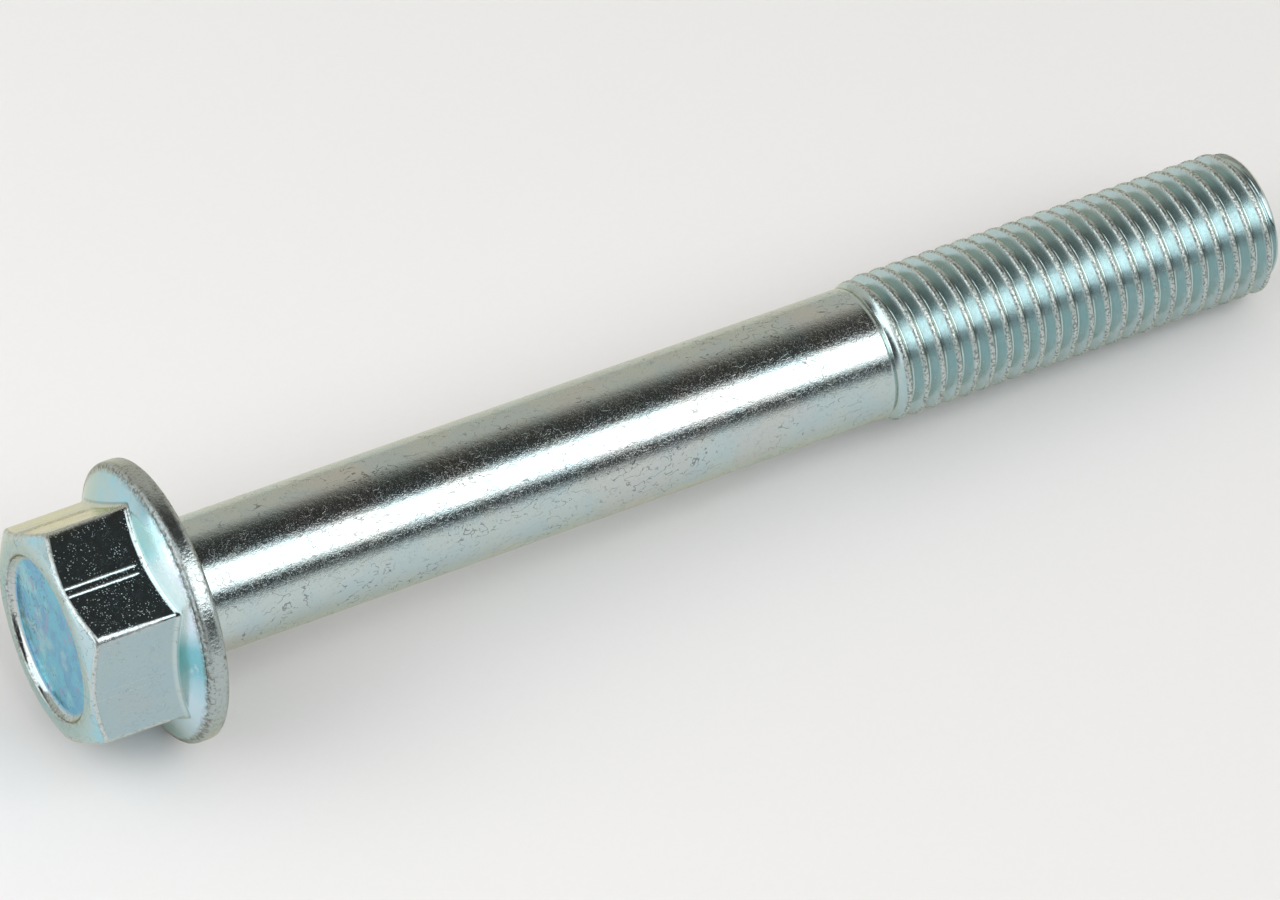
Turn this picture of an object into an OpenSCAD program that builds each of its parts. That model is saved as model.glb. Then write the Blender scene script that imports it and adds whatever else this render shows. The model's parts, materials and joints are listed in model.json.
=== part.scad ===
// Hexagon flange bolt, cold forged in one piece, with a rolled metric fine thread.
// It is drawn along its own axis, from the bearing face at 0 to the point at +Z,
// and then laid down as it comes to rest: on the rim of its flange and on its last crests.
// The origin is the centre of the bearing face, and +X runs towards the point.

/* [Length] */
// Length under the head, from the bearing face to the point
bolt_len = 80; // [45:1:120]
// Length of the thread, measured back from the point
thread_len = 30; // [15:1:40]

/* [Thread] */
// Nominal size of the thread
thread_d = 10; // [8:0.5:12]
// Distance from crest to crest, one start, right-hand
thread_pitch = 1.25; // [0.75:0.05:1.75]
// How far the crests fall short of the nominal size, on the diameter
crest_allowance = 0.15; // [0:0.01:0.3]
// Turns over which the thread fades into the shank
runout_turns = 1.5; // [0.5:0.25:4]
// Width of the 45 degree chamfer on the point
point_chamfer = 0.65; // [0.2:0.05:1.2]
// Turn of the thread about the axis
thread_turn = 20; // [0:1:359]

/* [Flange] */
// Largest diameter of the flange, at the middle of its rim
flange_d = 18.75; // [16.5:0.05:24]
// Height of the rim
rim_h = 1.5; // [0.8:0.05:2]
// How far the rim swells past its two edges
rim_swell = 0.37; // [0.1:0.01:0.5]
// Slope of the flange's upper side
flange_slope = 30; // [10:1:35]
// Fillet between the bearing face and the shank
neck_fillet = 0.5; // [0.2:0.05:1]

/* [Hexagon] */
// Width across the flats
hex_w = 13.8; // [11:0.1:15]
// Height of the head, from the bearing face to its end
head_h = 8.4; // [6:0.1:12]
// How much is rounded off each of the upright edges
hex_edge_cut = 0.11; // [0.03:0.01:0.4]
// Diameter of the flat end of the head, where its chamfer starts
head_end_d = 13.3; // [11.5:0.1:15]
// Slope of the chamfer at the end of the head
head_chamfer_slope = 30; // [15:1:45]
// Turn of the hexagon about the axis, from an edge on top
hex_turn = 9.5; // [-30:0.5:30]

/* [Recess in the head] */
// Diameter of the recess at its mouth
recess_d = 11.2; // [6:0.1:11.4]
// Depth of the recess, which is also the rounding of its wall
recess_depth = 0.5; // [0.2:0.05:1.5]

/* [Die marks on the flats] */
// Width of the raised line along each flat
mark_w = 0.6; // [0.3:0.05:1]
// Height of the raised line
mark_h = 0.045; // [0.02:0.005:0.1]
// Distance from the bearing face to the end of the raised line
mark_start = 3.05; // [2.5:0.05:5]

/* [Hidden] */
round_sides = 96;
cut_over = 1;

// Thread form: a 60 degree triangle cut short at the crest and the root, the root rounded out below that
triangle_h = thread_pitch * sqrt(3) / 2;
crest_r = (thread_d - crest_allowance) / 2;
root_r = crest_r - triangle_h * 5 / 8;
root_dip = triangle_h / 12;
// The thread is rolled from a blank of the pitch diameter, and the shank stays at that size
shank_r = crest_r - triangle_h * 3 / 8;
point_r = crest_r - point_chamfer;
thread_start = bolt_len - thread_len;
runout_len = runout_turns * thread_pitch;
// Points of one thread along the axis, as shares of the pitch, with the radius at each
thread_form = [
    [0, root_r - root_dip],
    [1 / 8, root_r],
    [7 / 16, crest_r],
    [9 / 16, crest_r],
    [7 / 8, root_r]
];
form_points = len(thread_form);
thread_sides = 24;
// Turns of points before the start of the thread and in all beyond its own, so that both ends are covered
lead_turns = 2;
spare_turns = 5;
thread_rows = form_points * (ceil(thread_len / thread_pitch) + spare_turns);
// The thread starts this deep inside the shank, and this far under its surface, so that the two are one solid
thread_lap = thread_pitch / 5;
thread_sink = thread_lap / 10;
// Rows this close to either end join its rim
low_gather = thread_lap / 2;
high_gather = thread_lap / 4;

// Flange: its rim is an arc through both edges and the largest diameter, and its upper side ends inside the hexagon
flange_r = flange_d / 2;
rim_edge_r = flange_r - rim_swell;
rim_arc_r = (pow(rim_h / 2, 2) + pow(rim_swell, 2)) / (2 * rim_swell);
rim_arc_centre = flange_r - rim_arc_r;
cone_top_r = hex_w / 2 - cut_over;
cone_h = (rim_edge_r - cone_top_r) * tan(flange_slope);

// Head
hex_corner_r = hex_w / 2 / cos(30);
hex_edge_r = hex_corner_r - hex_edge_cut;
head_end_r = head_end_d / 2;
chamfer_reach = hex_corner_r - head_end_r + cut_over;
recess_floor_r = recess_d / 2 - recess_depth;
mark_r = (pow(mark_w / 2, 2) + pow(mark_h, 2)) / (2 * mark_h);

// Rest: the floor is a tangent of the rim's arc through the edge of the point's chamfer
rest_run = bolt_len - point_chamfer + rim_h / 2;
rest_rise = rim_arc_centre - crest_r;
rest_tilt = atan(rest_rise / rest_run) + asin(rim_arc_r / norm([rest_run, rest_rise]));

// The upright edges are rounded to one circle about the axis
module hex_outline() {
    intersection() {
        circle(r = hex_corner_r, $fn = 6);
        circle(r = hex_edge_r, $fn = round_sides);
    }
}

// Raised line that the forging die leaves along the middle of a flat
module die_mark() {
    translate([hex_w / 2 + mark_h - mark_r, 0, -head_h])
        cylinder(r = mark_r, h = head_h - mark_start, $fn = round_sides);
}

// What is left of the head inside the chamfer at its end
module chamfer_envelope() {
    rotate_extrude($fn = round_sides)
        polygon([
            [0, -head_h],
            [head_end_r, -head_h],
            [head_end_r + chamfer_reach, -head_h + chamfer_reach * tan(head_chamfer_slope)],
            [head_end_r + chamfer_reach, -rim_h / 2],
            [0, -rim_h / 2]
        ]);
}

// Shallow dish in the end of the head, its wall a quarter round
module recess() {
    translate([0, 0, -head_h])
        rotate_extrude($fn = round_sides) {
            translate([0, -cut_over])
                square([recess_floor_r, recess_depth + cut_over]);
            translate([0, -cut_over])
                square([recess_d / 2, cut_over]);
            intersection() {
                translate([recess_floor_r, 0])
                    circle(r = recess_depth, $fn = round_sides);
                translate([recess_floor_r, 0])
                    square(recess_depth);
            }
        }
}

module hex_head() {
    difference() {
        intersection() {
            union() {
                translate([0, 0, -head_h])
                    linear_extrude(head_h - rim_h / 2)
                        hex_outline();
                for (flat = [0 : 5])
                    rotate(60 * flat + 30)
                        die_mark();
            }
            chamfer_envelope();
        }
        recess();
    }
}

// Half section of the flange, its swollen rim, the neck fillet and the shank
module turned_section() {
    polygon([
        [0, -rim_h - cone_h],
        [cone_top_r, -rim_h - cone_h],
        [rim_edge_r, -rim_h],
        [rim_edge_r, 0],
        [0, 0]
    ]);
    intersection() {
        translate([rim_arc_centre, -rim_h / 2])
            circle(r = rim_arc_r, $fn = round_sides);
        translate([rim_arc_centre, -rim_h])
            square([rim_arc_r, rim_h]);
    }
    translate([0, -rim_h / 2])
        square([shank_r, rim_h / 2 + thread_start]);
    difference() {
        translate([0, -rim_h / 2])
            square([shank_r + neck_fillet, rim_h / 2 + neck_fillet]);
        translate([shank_r + neck_fillet, neck_fillet])
            circle(r = neck_fillet, $fn = round_sides);
    }
}

// Rows of points follow the helix: form_points rows to a turn, each turn one pitch further on.
// Rows that would pass either end of the thread gather on the rim of that end.
function row_height(row, side) =
    let (turns = floor(row / form_points) + thread_form[row % form_points][0] + side / thread_sides)
    thread_start + thread_pitch * (turns - lead_turns);

function is_low(row, side) = row_height(row, side) < thread_start - low_gather;
function is_high(row, side) = row_height(row, side) > bolt_len - high_gather;

function thread_radius(row, height) =
    let (
        grown = min(1, max(0, (height - thread_start + thread_lap) / runout_len)),
        full = thread_form[row % form_points][1],
        start_r = shank_r - thread_sink
    )
    min(start_r + (full - start_r) * grown, point_r + bolt_len - height);

function thread_point(row, side) =
    let (
        angle = 360 * side / thread_sides + thread_turn,
        height = is_low(row, side) ? thread_start - thread_lap
            : is_high(row, side) ? bolt_len
            : row_height(row, side),
        radius = thread_radius(row, height)
    )
    [radius * cos(angle), radius * sin(angle), height];

// The column after the last one is the first one, a whole turn further up
function point_index(row, side) =
    side == thread_sides ? point_index(row + form_points, 0)
    : is_low(row, side) ? side
    : is_high(row, side) ? (thread_rows - 1) * thread_sides + side
    : row * thread_sides + side;

function is_triangle(face) = face[0] != face[1] && face[1] != face[2] && face[2] != face[0];

module rolled_thread() {
    points = [
        for (row = [0 : thread_rows - 1], side = [0 : thread_sides - 1])
            thread_point(row, side)
    ];
    flanks = [
        for (row = [0 : thread_rows - 1 - form_points - 1], side = [0 : thread_sides - 1])
            let (
                here = point_index(row, side),
                above = point_index(row + 1, side),
                beside = point_index(row, side + 1),
                across = point_index(row + 1, side + 1)
            )
            each [[here, above, across], [here, across, beside]]
    ];
    low_end = [for (side = [0 : thread_sides - 1]) side];
    high_end = [for (side = [thread_sides - 1 : -1 : 0]) (thread_rows - 1) * thread_sides + side];
    polyhedron(
        points = points,
        faces = concat([for (face = flanks) if (is_triangle(face)) face], [low_end, high_end])
    );
}

// Head, flange and shank, as they leave the heading dies
module forged_body() {
    rotate(180 - hex_turn)
        hex_head();
    rotate_extrude($fn = round_sides)
        turned_section();
}

module bolt() {
    color("lightsteelblue")
        rotate([0, 90 + rest_tilt, 0]) {
            forged_body();
            rolled_thread();
        }
}

bolt();
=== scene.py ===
# Bright zinc-plated hexagon flange bolt with a fine thread, lying on a pale floor in soft studio light.
# The plated surface is one mesh: rows of points run down the bolt and columns run round it.

import json
import math

import bpy
import numpy as np
from mathutils import Matrix, Vector


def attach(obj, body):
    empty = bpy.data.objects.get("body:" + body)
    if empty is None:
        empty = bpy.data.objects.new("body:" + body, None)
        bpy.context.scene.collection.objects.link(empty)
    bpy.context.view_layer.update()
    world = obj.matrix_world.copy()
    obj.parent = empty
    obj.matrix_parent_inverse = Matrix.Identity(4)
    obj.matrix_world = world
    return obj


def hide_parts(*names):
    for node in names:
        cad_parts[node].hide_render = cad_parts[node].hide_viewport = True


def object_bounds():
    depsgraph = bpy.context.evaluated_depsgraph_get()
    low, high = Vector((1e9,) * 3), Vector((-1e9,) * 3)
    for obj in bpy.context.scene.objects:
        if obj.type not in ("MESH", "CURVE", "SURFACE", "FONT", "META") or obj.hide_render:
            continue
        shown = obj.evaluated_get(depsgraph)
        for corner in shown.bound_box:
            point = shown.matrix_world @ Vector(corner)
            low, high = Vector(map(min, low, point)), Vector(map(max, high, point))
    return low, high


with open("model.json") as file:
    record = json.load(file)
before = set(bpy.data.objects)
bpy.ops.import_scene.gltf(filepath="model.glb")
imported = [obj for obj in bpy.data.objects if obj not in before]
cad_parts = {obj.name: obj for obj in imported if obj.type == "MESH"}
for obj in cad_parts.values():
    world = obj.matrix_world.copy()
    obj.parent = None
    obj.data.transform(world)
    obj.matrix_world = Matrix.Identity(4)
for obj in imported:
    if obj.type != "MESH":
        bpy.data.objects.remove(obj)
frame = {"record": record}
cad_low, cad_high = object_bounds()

MM = 0.001

# Sizes of the bolt in millimetres. Heights run along its own axis, from the bearing face to the point.
# Angles about the axis start straight down and pass its left side at 90 degrees.

# Shank and thread: the shank keeps the size of the blank that the thread is rolled from
BOLT_LEN = 80.0
THREAD_LEN = 30.0
CREST_R = 4.925
PITCH = 1.25
SHANK_R = CREST_R - 3 / 16 * math.sqrt(3) * PITCH
RUNOUT_TURNS = 1.4
POINT_CHAMFER = 0.65
THREAD_TURN = math.radians(20)

# Flange: a nearly flat rim, and an upper side that flattens inwards. Its mean slope from the rim inwards
# falls by the dome for each millimetre.
FLANGE_R = 9.36
RIM_H = 1.5
RIM_SWELL = 0.36
RIM_FLATNESS = 6
FLANGE_RIM_SLOPE = 0.59
FLANGE_DOME = 0.03
NECK_FILLET = 0.5

# Hexagon, with the dished end of the head
HEX_W = 13.8
HEAD_H = 8.4
HEAD_END_R = 6.65
CHAMFER_SLOPE = math.tan(math.radians(30))
HEX_TURN = math.radians(180 - 9.5)
RECESS_R = 5.6
RECESS_DEPTH = 0.5

# Die marks: two ridges along each flat, a little off its middle, that fade out above the flange
MARK_GAP = 0.56
MARK_SHIFT = 0.2
MARK_START = 3.08
MARK_FADE = 0.4
MARK_STRONGEST = math.radians(170)
WEAKEST_MARK = 0.35
RIDGE_W = 0.3
RIDGE_H = 0.04

# Sides of the head and the flange where the film differs, and two sides of the flange's cone where a pale
# highlight is painted into the colour
STAINED_SIDE = math.radians(140)
TEAL_SIDE = math.radians(250)
PAINTED_HIGHLIGHT_SIDE = math.radians(222)
LOW_PAINTED_HIGHLIGHT_SIDE = math.radians(288)

# Soft edges that forging and plating leave
HEX_EDGE_TOP = 0.85
HEX_EDGE_BASE = 0.3
HEX_FOOT = 0.56
CHAMFER_EDGE = 0.3
HEAD_END_EDGE = 1.5
RECESS_ROUND = 0.65
RECESS_LIP = 0.12
RIM_EDGE = 0.1
POINT_EDGE = 0.12
CREST_FLAT = 0.24
CREST_BOW = 0.5
CREST_SOFTENING = 0.012
ROOT_ROUND = 0.11
CHAMFER_SOFTENING = 0.04
END_DISH = 0.08

# Derived sizes
THREAD_START = BOLT_LEN - THREAD_LEN
FLANK_SLOPE = math.tan(math.radians(60))
THREAD_DEPTH = (PITCH - CREST_FLAT) / 2 * FLANK_SLOPE - ROOT_ROUND
ROOT_R = CREST_R - THREAD_DEPTH
ROOT_REACH = ROOT_ROUND * math.cos(math.radians(30))
POINT_R = CREST_R - POINT_CHAMFER
RECESS_LEAN = math.acos(1 - RECESS_DEPTH / RECESS_ROUND)
RECESS_FLOOR_R = RECESS_R - RECESS_ROUND * math.sin(RECESS_LEAN)
RIM_EDGE_R = FLANGE_R - RIM_SWELL
SIXTH = math.radians(60)
# Between this height and the rim lie the foot of the hexagon and the upper side of the flange
FLANGE_TOP = -3.5
# Wear on the upright edges ends at this distance from the bearing face, and fades out over a stretch
WORN_EDGE_END = 3.4
WORN_EDGE_FADE = 0.4

# Columns of the mesh: degrees from an upright edge, and ridge widths from the middle of a ridge
EDGE_COLUMNS = (0, 0.4, 0.8, 1.3, 2.0, 3.0, 4.2, 5.5, 7.0, 8.2)
FLAT_COLUMNS = (12, 17, 22)
RIDGE_COLUMNS = (1.3, 1.0, 0.5, 0, -0.5, -1.0, -1.3)

# Rows of the mesh: shares of a stretch, or heights
RECESS_ROWS = (0, 0.2, 0.4, 0.6, 0.8, 0.95)
WALL_ROWS = (-7.2, -6.2, -5.2, -4.2, -3.5, -3.4, -3.3, -3.2, -MARK_START)
FLANGE_ROWS = (0.45, 0.60, 0.75, 0.88)
RIM_ROWS = (-0.95, -0.88, -0.8, -0.7, -0.55, -0.3, 0, 0.3, 0.55, 0.7, 0.8, 0.88, 0.95)
END_ROWS = (0.85, 0.6, 0.3, 0)
SHANK_FIRST_ROW = 2
SHANK_ROWS = 17

# A rounding takes up to these shares of the stretch to a plain stop and to a stop that is rounded too
PLAIN_ROOM = 0.9
SHARED_ROOM = 0.45
# A row beside each rounding keeps the flat next to it flat
SUPPORT = 0.05
SUPPORT_SHARE = 0.06
# Rows of the thread this close to either end join its ring
GATHER = 0.02


# Mesh helpers

def ease(value, low, high):
    """Smooth step from 0 at low to 1 at high"""
    share = np.clip((value - low) / (high - low), 0, 1)
    return share * share * (3 - 2 * share)


def soft_minimum(first, second, softening):
    """The smaller of two values, with the corner where they cross rounded off"""
    return -softening * np.logaddexp(-first / softening, -second / softening)


def column_angles():
    """Angles of the columns about the axis, closer together at the hexagon's edges and die marks"""
    edge = np.radians(EDGE_COLUMNS)
    flat = np.radians(FLAT_COLUMNS)
    ridge = (MARK_GAP + RIDGE_W * np.array(RIDGE_COLUMNS)) / HEX_W
    shift = 2 * MARK_SHIFT / HEX_W
    before = np.concatenate([edge, flat, SIXTH / 2 - shift - ridge])
    after = np.concatenate([edge, flat, SIXTH / 2 + shift - ridge, [SIXTH / 2 + shift]])
    sixth = np.concatenate([-before[:0:-1], after])
    return np.concatenate([HEX_TURN + SIXTH * side + sixth for side in range(6)])


def rounded_rows(stops):
    """Rows along a section through stops of radius, height, rounding and arc steps"""
    places = [np.stack(np.broadcast_arrays(stop[0], stop[1], ANGLES)[:2], -1) for stop in stops]
    rows = []
    for number, (here, stop) in enumerate(zip(places, stops)):
        rounding, steps = stop[2], stop[3]
        if steps == 0:
            rows.append(here)
            continue
        back = places[number - 1] - here
        ahead = places[number + 1] - here
        back_len = np.linalg.norm(back, axis=1, keepdims=True)
        ahead_len = np.linalg.norm(ahead, axis=1, keepdims=True)
        back = back / back_len
        ahead = ahead / ahead_len
        corner = np.arccos(np.clip((back * ahead).sum(1, keepdims=True), -1, 1))
        back_share = SHARED_ROOM if stops[number - 1][3] else PLAIN_ROOM
        ahead_share = SHARED_ROOM if stops[number + 1][3] else PLAIN_ROOM
        room = np.minimum(back_share * back_len, ahead_share * ahead_len)
        reach = np.minimum(rounding / np.tan(corner / 2), room)
        bisector = back + ahead
        bisector = bisector / np.linalg.norm(bisector, axis=1, keepdims=True)
        centre = here + bisector * reach / np.cos(corner / 2)
        support = np.minimum(SUPPORT, room * SUPPORT_SHARE)
        start = here + back * reach
        end = here + ahead * reach
        turn = math.pi - corner
        rows.append(start + back * support)
        for step in range(steps + 1):
            share = step / steps
            weight_start = np.sin((1 - share) * turn) / np.sin(turn)
            weight_end = np.sin(share * turn) / np.sin(turn)
            rows.append(centre + weight_start * (start - centre) + weight_end * (end - centre))
        rows.append(end + ahead * support)
    return np.stack(rows)


def uneven_slope(before, here, after, gap_before, gap_after):
    """Slope at the middle of three unevenly spaced points, as of a parabola through them"""
    whole = gap_before + gap_after
    return (
        here * (gap_after - gap_before) / (gap_before * gap_after)
        - before * gap_after / (gap_before * whole)
        + after * gap_before / (gap_after * whole)
    )


def grid_normals(points):
    """Outward normals of a grid of rows and columns that closes round the axis"""
    gap = np.roll(ANGLES, -1) - ANGLES
    gap[-1] += 2 * math.pi
    gap_after = gap[None, :, None]
    gap_before = np.roll(gap, 1)[None, :, None]
    column_before = np.roll(points, 1, 1)
    column_after = np.roll(points, -1, 1)
    round_slope = uneven_slope(column_before, points, column_after, gap_before, gap_after)
    padded = np.concatenate([2 * points[:1] - points[1:2], points, 2 * points[-1:] - points[-2:-1]])
    steps = np.maximum(np.linalg.norm(np.diff(padded, axis=0), axis=2, keepdims=True), 1e-6)
    down_slope = uneven_slope(padded[:-2], points, padded[2:], steps[:-1], steps[1:])
    normals = np.cross(round_slope, down_slope)
    return normals / np.maximum(np.linalg.norm(normals, axis=2, keepdims=True), 1e-12)


def upright(rows):
    """Points in the bolt's own frame from rows of radius and height"""
    radius = rows[..., 0]
    return np.stack([radius * np.cos(ANGLES), radius * np.sin(ANGLES), rows[..., 1]], -1)


# Section of the head, flange and shank

def hexagon_radius(rounding):
    """Distance from the axis to the hexagon in each column, its upright edges rounded"""
    off_edge = np.abs((ANGLES - HEX_TURN + SIXTH / 2) % SIXTH - SIXTH / 2)
    flat = HEX_W / 2 / np.cos(SIXTH / 2 - off_edge)
    centre = (HEX_W / 2 - rounding) / math.cos(SIXTH / 2)
    reach = np.sqrt(np.maximum(rounding ** 2 - (centre * np.sin(off_edge)) ** 2, 0))
    arc = centre * np.cos(off_edge) + reach
    tangent = math.atan2(rounding * math.sin(SIXTH / 2), centre + rounding * math.cos(SIXTH / 2))
    return np.where(off_edge < tangent, arc, flat)


def wall_radius(height):
    """Distance from the axis to the hexagon's wall at a height, with the two ridges of its die marks"""
    share = (height + HEAD_H) / (HEAD_H - RIM_H)
    wall = hexagon_radius(HEX_EDGE_TOP + (HEX_EDGE_BASE - HEX_EDGE_TOP) * share)
    off_middle = (ANGLES - HEX_TURN) % SIXTH - SIXTH / 2
    off_ridge = np.abs(np.abs(wall * np.sin(off_middle) - MARK_SHIFT) - MARK_GAP / 2)
    ridge = 1 - ease(off_ridge, 0, RIDGE_W / 2)
    fade = 1 - ease(height, -MARK_START - MARK_FADE, -MARK_START)
    strength = WEAKEST_MARK + (1 - WEAKEST_MARK) * np.maximum(np.cos(ANGLES - MARK_STRONGEST), 0)
    return wall + RIDGE_H * ridge * fade * strength


def flange_height(radius):
    """Height of the flange's upper side at a distance from the axis: a cone that flattens inwards"""
    inwards = RIM_EDGE_R - radius
    return -RIM_H - inwards * (FLANGE_RIM_SLOPE - FLANGE_DOME * inwards)


def body_stops():
    """Stops of the section from the middle of the recess to the start of the thread"""
    floor = RECESS_DEPTH - HEAD_H
    stops = [(share * RECESS_FLOOR_R, floor, 0, 0) for share in RECESS_ROWS]
    for share in np.linspace(0, 0.9, 8):
        lean = share * RECESS_LEAN
        stops.append((RECESS_FLOOR_R + RECESS_ROUND * math.sin(lean),
                      floor - RECESS_ROUND * (1 - math.cos(lean)), 0, 0))
    stops.append((RECESS_R, -HEAD_H, RECESS_LIP, 4))
    stops.append((HEAD_END_R, -HEAD_H, HEAD_END_EDGE, 5))
    shoulder = wall_radius(1 - HEAD_H)
    stops.append((shoulder, -HEAD_H + (shoulder - HEAD_END_R) * CHAMFER_SLOPE, CHAMFER_EDGE, 5))
    for height in WALL_ROWS:
        stops.append((wall_radius(height), height, 0, 0))
    foot = wall_radius(-RIM_H)
    stops.append((foot, flange_height(foot), HEX_FOOT, 7))
    for share in FLANGE_ROWS:
        radius = foot + share * (RIM_EDGE_R - foot)
        stops.append((radius, flange_height(radius), 0, 0))
    stops.append((RIM_EDGE_R, -RIM_H, RIM_EDGE, 3))
    for share in RIM_ROWS:
        radius = FLANGE_R - RIM_SWELL * abs(share) ** RIM_FLATNESS
        stops.append((radius, (share - 1) * RIM_H / 2, 0, 0))
    stops.append((RIM_EDGE_R, 0, RIM_EDGE, 3))
    stops.append((0.8 * RIM_EDGE_R, 0, 0, 0))
    stops.append((SHANK_R, 0, NECK_FILLET, 6))
    for height in np.linspace(SHANK_FIRST_ROW, THREAD_START, SHANK_ROWS):
        stops.append((SHANK_R, height, 0, 0))
    return stops


# Rolled thread

def thread_section(share):
    """Radius of the full thread at a share of the pitch, from root to root"""
    off_root = PITCH * np.abs(share - np.round(share))
    off_crest = PITCH / 2 - off_root
    root = ROOT_R + ROOT_ROUND - np.sqrt(np.maximum(ROOT_ROUND ** 2 - off_root ** 2, 0))
    flank = CREST_R - (off_crest - CREST_FLAT / 2) * FLANK_SLOPE
    crest = CREST_R - off_crest ** 2 / (2 * CREST_BOW)
    outer = soft_minimum(crest, flank, CREST_SOFTENING)
    return np.where(off_root < ROOT_REACH, root, outer)


def thread_radius(angle, height):
    """Radius of the thread, fading out of the shank and chamfered at the point"""
    share = (height - THREAD_START) / PITCH - (angle - THREAD_TURN) / (2 * math.pi)
    grown = ease(height, THREAD_START, THREAD_START + RUNOUT_TURNS * PITCH)
    radius = SHANK_R + (thread_section(share) - SHANK_R) * grown
    chamfer = POINT_R + BOLT_LEN - height
    return soft_minimum(radius, chamfer, CHAMFER_SOFTENING)


def thread_normals(angle, height):
    """Outward normals of the thread, from the slopes of its radius"""
    nudge = 1e-4
    radius = thread_radius(angle, height)
    round_rise = thread_radius(angle + nudge, height) - thread_radius(angle - nudge, height)
    down_rise = thread_radius(angle, height + nudge) - thread_radius(angle, height - nudge)
    turned = round_rise / (2 * nudge) / radius
    down_slope = down_rise / (2 * nudge)
    normals = np.stack([
        np.cos(angle) + turned * np.sin(angle),
        np.sin(angle) - turned * np.cos(angle),
        -down_slope
    ], -1)
    return normals / np.linalg.norm(normals, axis=-1, keepdims=True)


def form_shares():
    """Shares of the pitch at which the thread has rows, on the arcs of its root and its crest"""
    root = np.array([0, 0.6, 1]) * ROOT_REACH / PITCH
    crest = 0.5 - np.array([0.7, 0.52, 0.25]) * CREST_FLAT / PITCH
    half = np.concatenate([root, crest])
    return np.concatenate([half, 1 - half[:0:-1]])


# The whole bolt as one mesh

def outward_curve(points, normals):
    """How sharply the surface turns outwards at each point, per millimetre"""
    down = np.zeros(points.shape[:2])
    step = points[2:] - points[:-2]
    turn = normals[2:] - normals[:-2]
    down[1:-1] = (step * turn).sum(2) / np.maximum((step * step).sum(2), 1e-9)
    step = np.roll(points, -1, 1) - np.roll(points, 1, 1)
    turn = np.roll(normals, -1, 1) - np.roll(normals, 1, 1)
    around = (step * turn).sum(2) / np.maximum((step * step).sum(2), 1e-9)
    return np.maximum(down, around)


def strip_faces(indices):
    """Quads between the rows of a grid of point numbers, those with doubled corners made triangles"""
    after = np.roll(indices, -1, 1)
    quads = np.stack([indices[:-1], after[:-1], after[1:], indices[1:]], -1).reshape(-1, 4)
    return clean_faces(quads)


def clean_faces(quads):
    """Faces without doubled corners, and without those that have no area"""
    faces = []
    for quad in quads.tolist():
        corners = [corner for place, corner in enumerate(quad) if corner != quad[place - 1]]
        if len(set(corners)) == len(corners) > 2:
            faces.append(corners)
    return faces


def build_bolt():
    """Points, normals, faces and surface masks of the bolt in its own frame"""
    sides = len(ANGLES)
    body = upright(rounded_rows(body_stops()))
    body_normals = grid_normals(body)
    body_normals[0] = (0, 0, -1)
    body_ids = 1 + np.arange((len(body) - 1) * sides).reshape(-1, sides)
    body_ids = np.concatenate([np.zeros((1, sides), int), body_ids])
    last_ring = body_ids[-1]

    # The thread's rows climb with the helix; past either end they gather on that end's ring
    shares = form_shares()
    turns = np.arange(-2, math.ceil(THREAD_LEN / PITCH) + 2)
    row_share = (turns[:, None] + shares).ravel()
    climb = (ANGLES - THREAD_TURN) / (2 * math.pi)
    height = THREAD_START + PITCH * (row_share[:, None] + climb)
    point_start = BOLT_LEN - 2 * POINT_EDGE
    low = height < THREAD_START + GATHER
    high = height > point_start - GATHER
    angle = np.broadcast_to(ANGLES, height.shape)
    inside = ~(low | high)
    radius = thread_radius(angle, height)
    thread = np.stack([radius * np.cos(angle), radius * np.sin(angle), height], -1)[inside]
    thread_n = thread_normals(angle, height)[inside]
    row_rise = (thread_section(row_share) - ROOT_R) / THREAD_DEPTH
    thread_rise = np.broadcast_to(row_rise[:, None], height.shape)
    first_thread = body_ids.max() + 1
    thread_ids = np.zeros(height.shape, int)
    thread_ids[inside] = first_thread + np.arange(inside.sum())
    first_point = first_thread + len(thread)
    thread_ids[low] = np.broadcast_to(last_ring, height.shape)[low]
    thread_ids[high] = np.broadcast_to(first_point + np.arange(sides), height.shape)[high]

    # The column after the last is the first one, a whole turn further up
    wrapped = np.roll(thread_ids, -1, 1)[:-len(shares)]
    wrapped[:, -1] = thread_ids[len(shares):, 0]
    kept = thread_ids[:-len(shares)]
    thread_quads = np.stack([kept[:-1], wrapped[:-1], wrapped[1:], kept[1:]], -1).reshape(-1, 4)

    # Chamfered point and its end face
    end_r = thread_radius(ANGLES, np.full(sides, BOLT_LEN))
    point_stops = [(thread_radius(ANGLES, np.full(sides, point_start)), point_start, 0, 0),
                   (end_r, BOLT_LEN, POINT_EDGE, 4)]
    for share in END_ROWS:
        point_stops.append((end_r * share, BOLT_LEN - END_DISH * (1 - share ** 2), 0, 0))
    point = upright(rounded_rows(point_stops))
    point_normals = grid_normals(point)
    point_normals[-1] = (0, 0, 1)
    point_normals[0] = thread_normals(ANGLES, np.full(sides, point_start))
    point_ids = first_point + np.arange((len(point) - 1) * sides).reshape(-1, sides)
    point_ids = np.concatenate([point_ids, np.full((1, sides), point_ids.max() + 1)])

    points = np.concatenate([body[0, :1], body[1:].reshape(-1, 3), thread,
                             point[:-1].reshape(-1, 3), point[-1, :1]])
    normals = np.concatenate([body_normals[0, :1], body_normals[1:].reshape(-1, 3), thread_n,
                              point_normals[:-1].reshape(-1, 3), point_normals[-1, :1]])
    faces = strip_faces(body_ids) + clean_faces(thread_quads) + strip_faces(point_ids)

    curve = np.zeros(len(points))
    curve[body_ids[1:]] = outward_curve(body, body_normals)[1:]
    crest = np.zeros(len(points))
    crest[first_thread:first_point] = thread_rise[inside]
    return points, normals, faces, surface_masks(points, normals, curve, crest)


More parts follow.
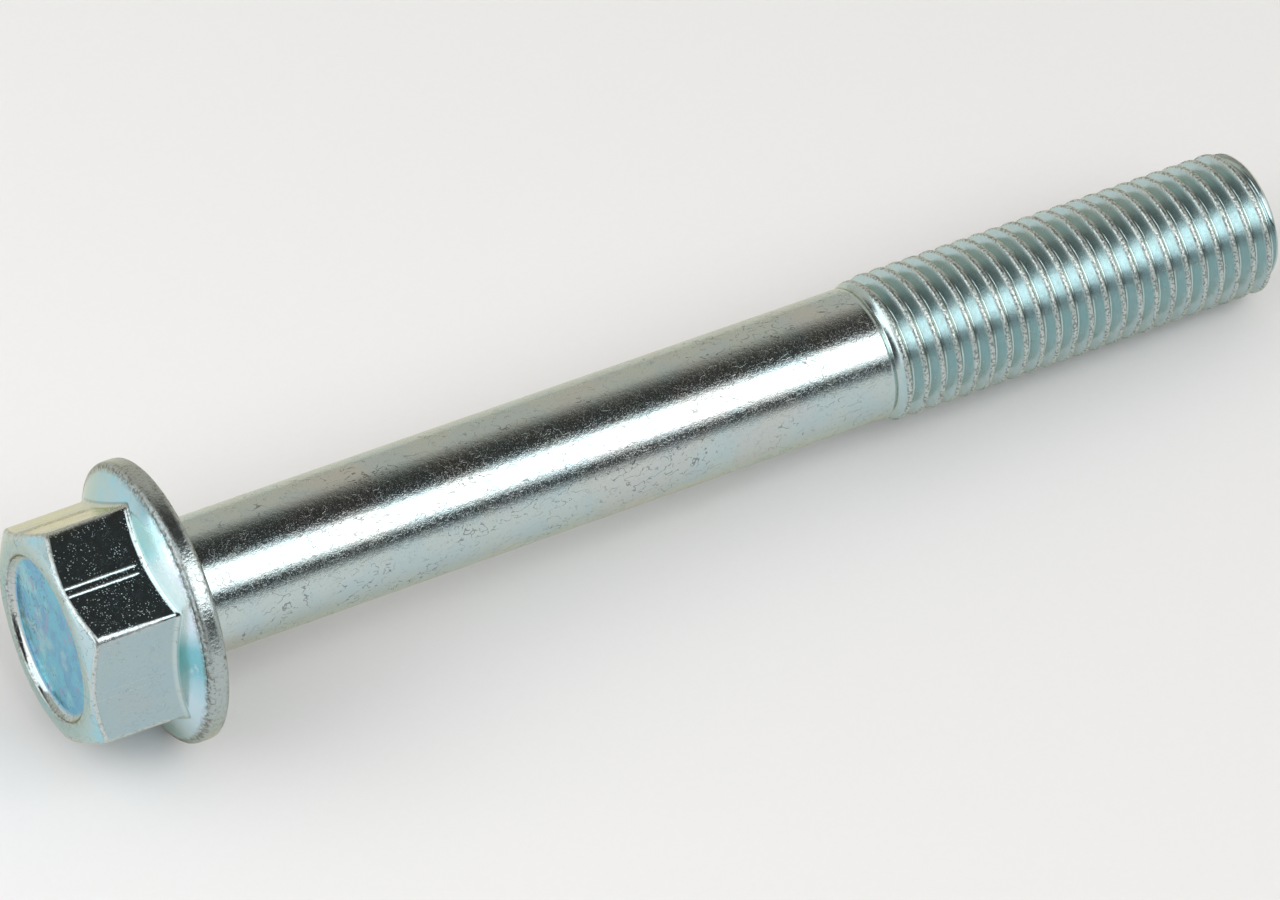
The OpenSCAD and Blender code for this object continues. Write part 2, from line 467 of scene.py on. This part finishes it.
def surface_masks(points, normals, curve, crest):
    """Shares of each point in the places that look different: recess, flange, edges and thread"""
    radius = np.hypot(points[:, 0], points[:, 1])
    angle = np.arctan2(points[:, 1], points[:, 0])
    height = points[:, 2]
    facing_head = -normals[:, 2]
    at_head_end = height < -HEAD_H + 2 * RECESS_DEPTH
    inside_lip = radius < RECESS_R + 0.5 * RECESS_LIP
    above_flange = ease(height, -WORN_EDGE_END, WORN_EDGE_FADE - WORN_EDGE_END) * (height < -RIM_H - 0.1)
    edge = ease(curve, 0.35, 2.0) * (1 - above_flange)
    on_cone = ease(facing_head, 0.68, 0.84) * (height > FLANGE_TOP)
    in_foot = (height < -RIM_H - 0.2) * (height > FLANGE_TOP) * (radius > HEX_W / 2)
    past_rim_edge = ease(radius, RIM_EDGE_R - 0.1, RIM_EDGE_R + 0.05)
    on_rim = past_rim_edge * ease(height, -RIM_H - 0.05, -RIM_H + 0.05)
    off_rim_edge = np.minimum(np.abs(height + RIM_H), np.abs(height))
    near_rim_edge = ease(radius, RIM_EDGE_R - 0.3, RIM_EDGE_R - 0.1) * (1 - ease(off_rim_edge, 0.03, 0.2))
    on_hexagon = (1 - ease(facing_head, 0.1, 0.4)) * (height < -RIM_H) * (radius > RECESS_R)
    on_thread = ease(height, THREAD_START - 0.3, THREAD_START + PITCH)
    return {
        "recess": at_head_end * inside_lip * ease(facing_head, 0.90, 0.98),
        "lip": at_head_end * (1 - ease(np.abs(radius - RECESS_R), 0.05, 0.25)),
        "head_end": at_head_end * (1 - inside_lip) * ease(facing_head, 0.5, 0.8),
        "cone": on_cone,
        # Painted shade: a band in the crease where the hexagon meets the flange
        "foot": in_foot * ease(facing_head, 0.64, 0.74) * (1 - ease(facing_head, 0.80, 0.88)),
        "teal": on_cone * ease(np.cos(angle - TEAL_SIDE), 0.88, 0.95),
        # Painted highlight: pale lobes on two sides of the flange's cone
        "painted_highlight": on_cone * np.maximum(ease(np.cos(angle - PAINTED_HIGHLIGHT_SIDE), 0.89, 0.985),
                                     0.5 * ease(np.cos(angle - LOW_PAINTED_HIGHLIGHT_SIDE), 0.85, 0.95)),
        "rim": on_rim,
        "rim_edge": near_rim_edge,
        "hexagon": on_hexagon,
        "stain": on_hexagon * (1 - edge) * ease(np.cos(angle - STAINED_SIDE), 0.8, 0.9),
        "edge": edge,
        "shank": ease(height, 0.1, 0.5) * (1 - on_thread),
        "thread": on_thread,
        "crest": crest * on_thread
    }


# Shading

class Value:
    """A number that varies over a surface; arithmetic on it adds Math nodes"""

    def __init__(self, shader, socket):
        self.shader = shader
        self.socket = socket

    def __add__(self, other):
        return self.shader.maths("ADD", self, other)

    def __sub__(self, other):
        return self.shader.maths("SUBTRACT", self, other)

    def __rsub__(self, other):
        return self.shader.maths("SUBTRACT", other, self)

    def __mul__(self, other):
        return self.shader.maths("MULTIPLY", self, other)

    __radd__ = __add__
    __rmul__ = __mul__


class Shader:
    """A node tree under construction"""

    def __init__(self, tree):
        self.tree = tree
        self.tree.nodes.clear()

    def node(self, kind, settings, sockets, output=0):
        """Adds a node: settings first, then values or links by socket identifier"""
        made = self.tree.nodes.new(kind)
        for name, setting in settings.items():
            setattr(made, name, setting)
        places = {socket.identifier: socket for socket in made.inputs}
        for name, value in sockets.items():
            if isinstance(value, Value):
                self.tree.links.new(value.socket, places[name])
            else:
                places[name].default_value = value
        if isinstance(output, str):
            return Value(self, next(socket for socket in made.outputs if socket.identifier == output))
        return Value(self, made.outputs[output]) if len(made.outputs) else made

    def maths(self, operation, first, second):
        return self.node("ShaderNodeMath", {"operation": operation},
                         {"Value": first, "Value_001": second})

    def mask(self, name):
        """A mask that the mesh carries"""
        return self.node("ShaderNodeAttribute", {"attribute_name": name}, {}, "Fac")

    def places(self, stretch=(1, 1, 1)):
        """Places on the bolt in its own frame, in millimetres, scaled along each axis"""
        own = self.node("ShaderNodeAttribute", {"attribute_name": "own_place"}, {}, "Vector")
        return self.node("ShaderNodeVectorMath", {"operation": "MULTIPLY"},
                         {"Vector": own, "Vector_001": stretch})

    def noise(self, places, scale, detail=2.0, rough=0.5):
        sockets = {"Vector": places, "Scale": scale, "Detail": detail, "Roughness": rough}
        return self.node("ShaderNodeTexNoise", {}, sockets, "Fac")

    def cells(self, places, scale, output="Distance"):
        return self.node("ShaderNodeTexVoronoi", {}, {"Vector": places, "Scale": scale}, output)

    def step(self, value, low, high):
        """Smooth step from 0 at low to 1 at high"""
        return self.node("ShaderNodeMapRange", {"interpolation_type": "SMOOTHSTEP"},
                         {"Value": value, "From Min": low, "From Max": high})

    def blend(self, share, first, second):
        """Mix of two colours"""
        return self.node("ShaderNodeMix", {"data_type": "RGBA"},
                         {"Factor_Float": share, "A_Color": first, "B_Color": second}, "Result_Color")


def colour(red, green, blue):
    return (red, green, blue, 1.0)


# Colours of the plating and its film, with a painted highlight and a painted shade among them
PALE_ZINC = colour(0.52, 0.61, 0.60)
COOL_ZINC = colour(0.49, 0.60, 0.62)
ROSE_FILM = colour(0.62, 0.55, 0.52)
CYAN_FILM = colour(0.28, 0.66, 0.82)
SKY_FILM = colour(0.12, 0.58, 0.86)
STREAK_FILM = colour(0.46, 0.76, 0.86)
BLUE_FILM = colour(0.10, 0.42, 0.78)
TEAL_FILM = colour(0.18, 0.51, 0.60)
# Painted shade in the crease where the hexagon meets the flange, dark teal
FOOT_PAINTED_SHADE = colour(0.18, 0.32, 0.30)
VIOLET_FILM = colour(0.36, 0.34, 0.66)
STRAW_FILM = colour(0.68, 0.66, 0.42)
GREEN_FILM = colour(0.50, 0.66, 0.36)
FLAT_FILM = colour(0.27, 0.41, 0.47)
THREAD_FILM = colour(0.55, 0.69, 0.69)
# Painted highlight on the flange's cone, pale blue-white
CONE_PAINTED_HIGHLIGHT = colour(0.76, 0.86, 0.98)
WORN_CREST = colour(0.60, 0.67, 0.65)
WORN_EDGE = colour(0.62, 0.65, 0.63)
RIM_GREY = colour(0.40, 0.46, 0.46)
CREST_GRIT = colour(0.27, 0.31, 0.31)
DARK_SPECK = colour(0.10, 0.105, 0.105)
DARK_BROWN = colour(0.17, 0.16, 0.14)
GRAZING_TINT = colour(0.95, 0.90, 0.74)

# Flecks per millimetre
SHANK_FLECKS = 11.0
FLAT_FLECKS = 8.5
# How far a noise is off its contour, squared, at the core and the edge of a hair scratch
HAIR_CORE = 0.00003
HAIR_EDGE = 0.00018
# Depth of the fine relief in metres
RELIEF_DEPTH = 0.00002


def film_colour(shade, places):
    """Colour of the passivation film: pale blue-grey, with cyan, blue, straw and violet clouds, a painted
    highlight on two sides of the cone and painted shade in the crease at the hexagon's foot
    """
    cloud = shade.noise(places, 0.4, 3)
    smear = shade.noise(shade.places((1, 1, 0.4)), 0.7, 2)
    patch = shade.noise(places, 0.55, 4, 0.6)
    recess = shade.mask("recess")
    stain = shade.mask("stain")
    film = shade.blend(shade.step(cloud, 0.42, 0.60), PALE_ZINC, COOL_ZINC)
    film = shade.blend(0.3 * shade.step(shade.noise(places, 0.16, 2), 0.50, 0.62), film, ROSE_FILM)
    film = shade.blend(0.5 * shade.mask("hexagon"), film, FLAT_FILM)
    film = shade.blend(0.4 * shade.mask("cone") + 0.3 * shade.mask("head_end"), film, CYAN_FILM)
    cyan = (shade.mask("cone") + shade.mask("head_end")) * shade.step(patch, 0.48, 0.66)
    film = shade.blend(0.6 * cyan, film, CYAN_FILM)
    film = shade.blend(shade.mask("teal") * shade.step(patch, 0.36, 0.42) * 0.85, film, TEAL_FILM)
    # Painted highlight on two sides of the cone
    film = shade.blend(0.9 * shade.mask("painted_highlight"), film, CONE_PAINTED_HIGHLIGHT)
    # Painted shade, dark teal, in the crease at the hexagon's foot
    film = shade.blend(0.7 * shade.mask("foot"), film, FOOT_PAINTED_SHADE)
    film = shade.blend(0.35 * stain + 0.45 * stain * shade.step(smear, 0.45, 0.60), film, STRAW_FILM)
    film = shade.blend(0.5 * stain * shade.step(smear, 0.58, 0.66), film, GREEN_FILM)
    dish = shade.blend(shade.step(patch, 0.44, 0.62), SKY_FILM, BLUE_FILM)
    film = shade.blend(recess * 0.95, film, dish)
    film = shade.blend(0.5 * recess * (1 - shade.step(cloud, 0.36, 0.46)), film, STREAK_FILM)
    return shade.blend(0.7 * recess * shade.step(smear, 0.60, 0.68), film, VIOLET_FILM)


def zinc_plate():
    """Bright zinc under its film: fine flecks, hair scratches, granular crests and a worn rim"""
    material = bpy.data.materials.new("zinc_plate")
    material.use_nodes = True
    shade = Shader(material.node_tree)
    places = shade.places()

    lip = shade.mask("lip")
    rim = shade.mask("rim")
    hexagon = shade.mask("hexagon")
    edge = shade.mask("edge")
    thread = shade.mask("thread")
    crest = shade.step(shade.mask("crest"), 0.80, 0.90)
    root = thread * (1 - shade.step(shade.mask("crest"), 0.05, 0.3))

    mottle = shade.noise(places, 1.6, 4, 0.6)
    coarse = shade.noise(places, 4.0, 3, 0.7)
    crumb = shade.noise(places, 6.0, 2, 0.6)
    swell = shade.noise(places, 3.0, 2, 0.5) * (1 - 0.7 * shade.mask("cone"))
    grit = shade.cells(places, 6.5)

    # Flecks are small dots of rougher plating, closer together on the round of the bolt than on the flats
    dense = shade.step(shade.cells(places, SHANK_FLECKS, "Color"), 0.05, 0.90)
    dense = dense * (1 - shade.step(shade.cells(places, SHANK_FLECKS), 0.30, 0.65))
    sparse = shade.step(shade.cells(places, FLAT_FLECKS, "Color"), 0.30, 0.85)
    sparse = sparse * (1 - shade.step(shade.cells(places, FLAT_FLECKS), 0.18, 0.46))
    crowded = 0.3 + 0.7 * shade.step(shade.noise(places, 0.9, 2), 0.40, 0.60)
    flecks = 0.45 * dense * (shade.mask("shank") + 0.4 * rim) + sparse * hexagon * crowded

    # Hair scratches are thin contour lines of a noise, broken into short pieces by a second and, where
    # the bolt was handled less, faded by a third
    broken = shade.noise(places, 1.1, 2)
    contour = shade.noise(places, 0.9, 2) - 0.5
    hair = (1 - shade.step(contour * contour, HAIR_CORE, HAIR_EDGE)) * shade.step(broken, 0.51, 0.55)
    contour = shade.noise(shade.places((2.2, 1.4, 1.0)), 0.8, 2) - 0.47
    line = 1 - shade.step(contour * contour, HAIR_CORE, HAIR_EDGE)
    hair = hair + line * (1 - shade.step(broken, 0.45, 0.49))
    specks = (1 - shade.step(shade.cells(places, 2.6), 0.06, 0.15)) * shade.step(coarse, 0.54, 0.62)
    handled = 0.3 + 0.7 * shade.step(shade.noise(places, 0.3, 3), 0.42, 0.56)
    marks = (0.6 * specks + 0.9 * hair) * handled
    marks = marks * (1 - 0.7 * hexagon) * (1 - 0.8 * shade.mask("cone")) * (1 - thread)

    film = film_colour(shade, places)
    film = shade.blend(thread * 0.7, film, THREAD_FILM)
    film = shade.blend(0.5 * thread * shade.step(mottle, 0.48, 0.60), film, PALE_ZINC)
    film = shade.blend(root * 0.5, film, COOL_ZINC)
    grains = shade.blend(shade.step(grit, 0.50, 0.66), WORN_CREST, CREST_GRIT)
    film = shade.blend(0.95 * crest, film, grains)
    film = shade.blend(0.8 * rim, film, RIM_GREY)
    film = shade.blend(0.6 * edge * (1 - rim), film, WORN_EDGE)
    rim_dirt = shade.mask("rim_edge") * shade.step(coarse, 0.40, 0.54)
    # Dark brown patches on the rim, on sharp edges and along the lip of the recess
    dark_patches = (0.6 * rim + 0.8 * edge) * shade.step(coarse, 0.53, 0.63)
    dark_patches = dark_patches + 0.6 * lip * shade.step(coarse, 0.46, 0.56)
    film = shade.blend(0.8 * rim_dirt + 0.6 * dark_patches, film, DARK_BROWN)
    film = shade.blend(0.7 * marks, film, DARK_SPECK)
    film = shade.blend(0.3 * flecks, film, WORN_EDGE)

    rough = 0.12 + 0.08 * mottle + 0.28 * flecks + 0.06 * marks + 0.04 * rim + 0.15 * edge
    rough = rough + 0.10 * thread + 0.10 * crest
    relief = 0.5 * swell - 0.3 * marks + (0.8 * rim + 1.2 * crest + 1.4 * edge) * crumb - 0.3 * flecks
    relief = relief - crest * grit
    bump = shade.node("ShaderNodeBump", {},
                      {"Height": relief, "Strength": 1.0, "Distance": RELIEF_DEPTH}, "Normal")
    surface = shade.node(
        "ShaderNodeBsdfPrincipled", {},
        {"Base Color": film, "Metallic": 1.0, "Roughness": rough, "Normal": bump,
         "Specular Tint": GRAZING_TINT}
    )
    shade.node("ShaderNodeOutputMaterial", {}, {"Surface": surface})
    return material


# The floor's paper, its tooth counted per metre
PAPER_TOOTH = 2000.0
PAPER_SHADE = colour(0.79, 0.79, 0.79)
PAPER_WHITE = colour(0.81, 0.81, 0.81)


def floor_paint():
    """Matt white paper with a faint tooth"""
    material = bpy.data.materials.new("white_paper")
    material.use_nodes = True
    shade = Shader(material.node_tree)
    places = shade.node("ShaderNodeTexCoord", {}, {}, "Object")
    tooth = shade.noise(places, PAPER_TOOTH, 3)
    paper = shade.blend(tooth, PAPER_SHADE, PAPER_WHITE)
    surface = shade.node("ShaderNodeBsdfPrincipled", {}, {"Base Color": paper, "Roughness": 0.9})
    shade.node("ShaderNodeOutputMaterial", {}, {"Surface": surface})
    return material


# Pieces

record = frame["record"]
seat = next(mount for mount in record["mounts"] if mount["name"] == "bearing_face")
along = Vector(seat["axis"]).normalized()
sideways = Vector((0, 1, 0))
down = sideways.cross(along)
laid_down = np.array([down, sideways, along])

ANGLES = column_angles()
points, normals, faces, masks = build_bolt()
mesh = bpy.data.meshes.new("plated_bolt")
mesh.from_pydata((points @ laid_down * MM).tolist(), [], faces)
mesh.shade_smooth()
own_place = mesh.attributes.new("own_place", "FLOAT_VECTOR", "POINT")
own_place.data.foreach_set("vector", points.astype(np.float32).ravel())
for name, mask in masks.items():
    mesh.attributes.new(name, "FLOAT", "POINT").data.foreach_set("value", mask.astype(np.float32))
mesh.normals_split_custom_set_from_vertices((normals @ laid_down).tolist())
mesh.materials.append(zinc_plate())
plated_bolt = bpy.data.objects.new("plated_bolt", mesh)
bpy.context.scene.collection.objects.link(plated_bolt)
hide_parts("bolt")
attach(plated_bolt, "root")

# Floor under the lowest point of the bolt
FLOOR_SIZE = 6.0
half = FLOOR_SIZE / 2
floor_mesh = bpy.data.meshes.new("floor")
corners = [(-half, -half, 0), (half, -half, 0), (half, half, 0), (-half, half, 0)]
floor_mesh.from_pydata(corners, [], [(0, 1, 2, 3)])
floor_mesh.materials.append(floor_paint())
floor = bpy.data.objects.new("floor", floor_mesh)
floor.location.z = cad_low.z
bpy.context.scene.collection.objects.link(floor)


# Light

def softbox(name, towards, upper_edge, width, height, distance, radiance,
            shift=(0, 0, 0), reflected=True, on_floor=True):
    """A rectangular light that faces the bolt or a place beside it, its upper edge towards a direction"""
    lamp_data = bpy.data.lights.new(name, "AREA")
    lamp_data.shape = "RECTANGLE"
    lamp_data.size = width
    lamp_data.size_y = height
    lamp_data.energy = radiance * math.pi * width * height
    lamp = bpy.data.objects.new(name, lamp_data)
    lamp.visible_glossy = reflected
    lamp.visible_diffuse = on_floor
    back = Vector(towards).normalized()
    side = Vector(upper_edge).cross(back).normalized()
    rise = back.cross(side)
    turned = Matrix((side, rise, back)).transposed().to_4x4()
    lamp.matrix_world = Matrix.Translation(back * distance + Vector(shift)) @ turned
    bpy.context.scene.collection.objects.link(lamp)


# Direction of the key light: its shares towards the point of the bolt and square to the axis
KEY_ALONG = 0.33
KEY_ACROSS = 0.944


def key_softbox(name, upper, lower, width, distance, radiance):
    """A softbox to the right of the camera, between two angles from straight up"""
    middle = math.radians((upper + lower) / 2)
    height = 2 * distance * math.tan(math.radians((lower - upper) / 2))
    towards = (KEY_ALONG, -KEY_ACROSS * math.sin(middle), KEY_ACROSS * math.cos(middle))
    softbox(name, towards, (0, math.cos(middle), math.sin(middle)), width, height, distance, radiance)


# The key light has a bright core in front of a dimmer cloth
key_softbox("key_cloth", upper=17.5, lower=64, width=1.2, distance=1.0, radiance=0.75)
key_softbox("key_core", upper=23.5, lower=57, width=1.0, distance=0.9, radiance=2.0)
# A panel stands at the left, and a second one leans over from its top
softbox("left_panel", towards=(-1, 0, 0), upper_edge=(0, 0, 1),
        width=0.95, height=1.05, distance=0.9, radiance=1.8, shift=(0, 0.13, 0.515))
softbox("top_panel", towards=(-0.39, 0, 0.92), upper_edge=(-0.92, 0, -0.39),
        width=0.5, height=0.74, distance=1.0, radiance=1.8, on_floor=False)
# Two fills light matt surfaces alone, and do not show in the plating
softbox("floor_fill", towards=(0, -0.2, 1), upper_edge=(0, 1, 0),
        width=2.6, height=2.6, distance=1.0, radiance=0.36, reflected=False)
softbox("left_floor_fill", towards=(0, 0, 1), upper_edge=(0, 1, 0),
        width=0.15, height=0.3, distance=0.15, radiance=1.3, shift=(-0.15, 0, 0), reflected=False)

# Levels of the surround
CEILING_LEVEL = 0.03
WALL_LEVEL = 0.56
LOW_LEVEL = 0.45
TOWARDS_WALL = (0.48, 0.88, 0)
FRONT_TONE = colour(0.97, 1.0, 1.0)
WALL_TONE = colour(1.12, 1.02, 0.90)


def studio_surround():
    """A dark ceiling, and pale walls that are brightest low down and behind the bolt"""
    world = bpy.data.worlds.new("studio")
    bpy.context.scene.world = world
    world.use_nodes = True
    shade = Shader(world.node_tree)
    heading = shade.node("ShaderNodeTexCoord", {}, {}, "Generated")
    rise = shade.node("ShaderNodeVectorMath", {"operation": "DOT_PRODUCT"},
                      {"Vector": heading, "Vector_001": (0, 0, 1)}, "Value")
    beyond = shade.node("ShaderNodeVectorMath", {"operation": "DOT_PRODUCT"},
                        {"Vector": heading, "Vector_001": TOWARDS_WALL}, "Value")
    far = shade.step(beyond, -0.1, 0.3)
    wall = (1 - shade.step(rise, 0.58, 0.90)) * far
    low = (1 - shade.step(rise, 0.02, 0.20)) * (1 - far)
    level = CEILING_LEVEL + WALL_LEVEL * wall + LOW_LEVEL * low
    tone = shade.blend(far, FRONT_TONE, WALL_TONE)
    light = shade.node("ShaderNodeBackground", {}, {"Color": tone, "Strength": level})
    shade.node("ShaderNodeOutputWorld", {}, {"Surface": light})


studio_surround()


# Camera: the photograph's, found from the head, the flange and the thread

CAMERA_LENS = 225.98
CAMERA_SENSOR = 36.0
# The bearing face's centre as the camera sees it, in millimetres to the right, down and away
SEAT_FROM_CAMERA = Vector((-29.90, 9.264, 505.92))
# The axis's slant away from the camera, its climb across the picture, and the turn of up about it, in radians
AXIS_SLANT = 0.3776
AXIS_CLIMB = 0.3383
UP_TURN = math.radians(-130.97)


def place_camera():
    """Sets the camera from where the bearing face lies and how the axis runs as it sees them"""
    towards_point = Vector((math.cos(AXIS_SLANT) * math.cos(AXIS_CLIMB),
                            -math.cos(AXIS_SLANT) * math.sin(AXIS_CLIMB),
                            math.sin(AXIS_SLANT)))
    first = Vector((math.sin(AXIS_CLIMB), math.cos(AXIS_CLIMB), 0))
    second = towards_point.cross(first)
    off_axis = math.cos(UP_TURN) * first + math.sin(UP_TURN) * second
    tilt_sine = -along.z
    tilt_cosine = along.x
    up = -tilt_sine * towards_point + tilt_cosine * off_axis
    ahead = tilt_cosine * towards_point + tilt_sine * off_axis
    left = up.cross(ahead)
    seen = Matrix((ahead, left, up))
    camera_data = bpy.data.cameras.new("camera")
    camera_data.lens = CAMERA_LENS
    camera_data.sensor_width = CAMERA_SENSOR
    camera_data.sensor_fit = "HORIZONTAL"
    camera_data.clip_start = 0.01
    camera = bpy.data.objects.new("camera", camera_data)
    flip = Matrix.Diagonal((1, -1, -1))
    camera.matrix_world = Matrix.Translation(-(seen @ SEAT_FROM_CAMERA) * MM) @ (seen @ flip).to_4x4()
    bpy.context.scene.collection.objects.link(camera)
    bpy.context.scene.camera = camera


place_camera()
bpy.context.scene.view_settings.view_transform = "Standard"
